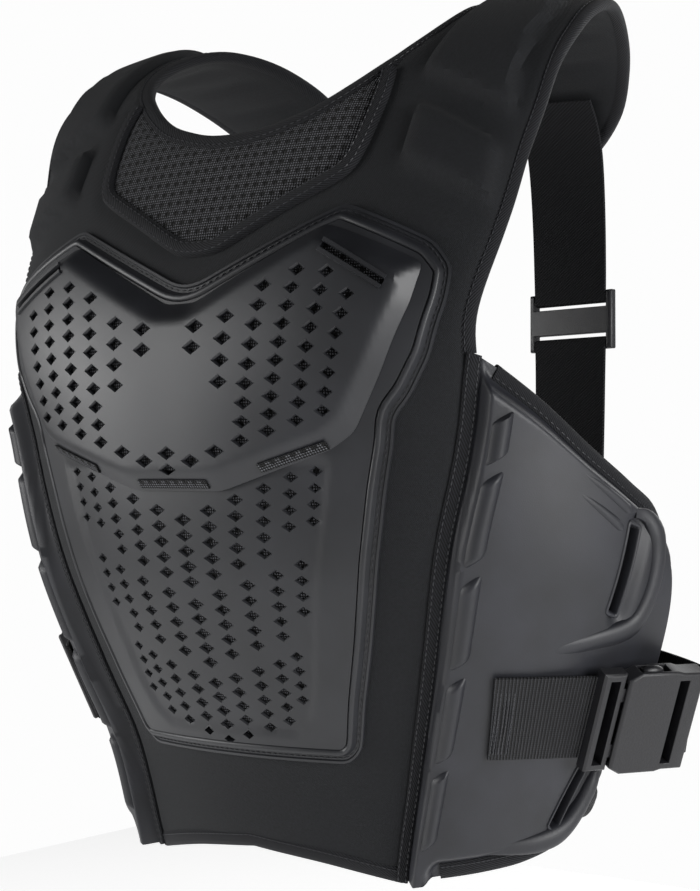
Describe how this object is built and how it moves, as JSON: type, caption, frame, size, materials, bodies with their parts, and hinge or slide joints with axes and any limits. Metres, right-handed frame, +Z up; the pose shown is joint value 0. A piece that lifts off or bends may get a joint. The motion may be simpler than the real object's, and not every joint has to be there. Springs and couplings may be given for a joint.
{
  "type": "roost deflector",
  "caption": "Sleeveless chest protector with a pierced moulded chest plate, moulded side wings, a low back panel, elastic back straps and side buckles.",
  "frame": {"origin": "midway between the shoulders, at the height where the shoulder straps' undersides sit on them", "axes": "+Z up the wearer's body, -Y out of the chest, +X towards the wearer's left"},
  "size_m": [0.4644, 0.2853, 0.4941],
  "materials": {
    "panel": "matt foam-backed knit",
    "mesh": "matt spacer mesh",
    "binding": "matt folded tape",
    "plate": "satin moulded",
    "wing": "satin compression-moulded foam",
    "webbing": "ribbed woven",
    "elastic": "twill elastic",
    "buckle": "grained moulded acetal"
  },
  "bodies": {
    "root": {"front_panel": "panel", "bib": "mesh", "bib_trim": "binding", "arm_binding_left": "binding", "arm_binding_right": "binding", "neck_binding": "binding", "hem_binding": "binding", "plate_rim": "plate", "lower_plate": "plate", "upper_plate": "plate", "wing_left": "wing", "wing_right": "wing", "wing_binding_left": "binding", "wing_binding_right": "binding", "seam_left": "binding", "seam_right": "binding", "back_panel": "panel", "back_binding": "binding", "waist_web_left": "webbing", "waist_web_right": "webbing", "buckle_male_left": "buckle", "buckle_male_right": "buckle", "buckle_female_left": "buckle", "buckle_female_right": "buckle", "waist_elastic_left": "elastic", "waist_elastic_right": "elastic", "back_strap_upper_left": "elastic", "back_strap_upper_right": "elastic", "back_strap_lower_left": "elastic", "back_strap_lower_right": "elastic", "slider_left": "buckle", "slider_right": "buckle"}
  },
  "joints": []
}
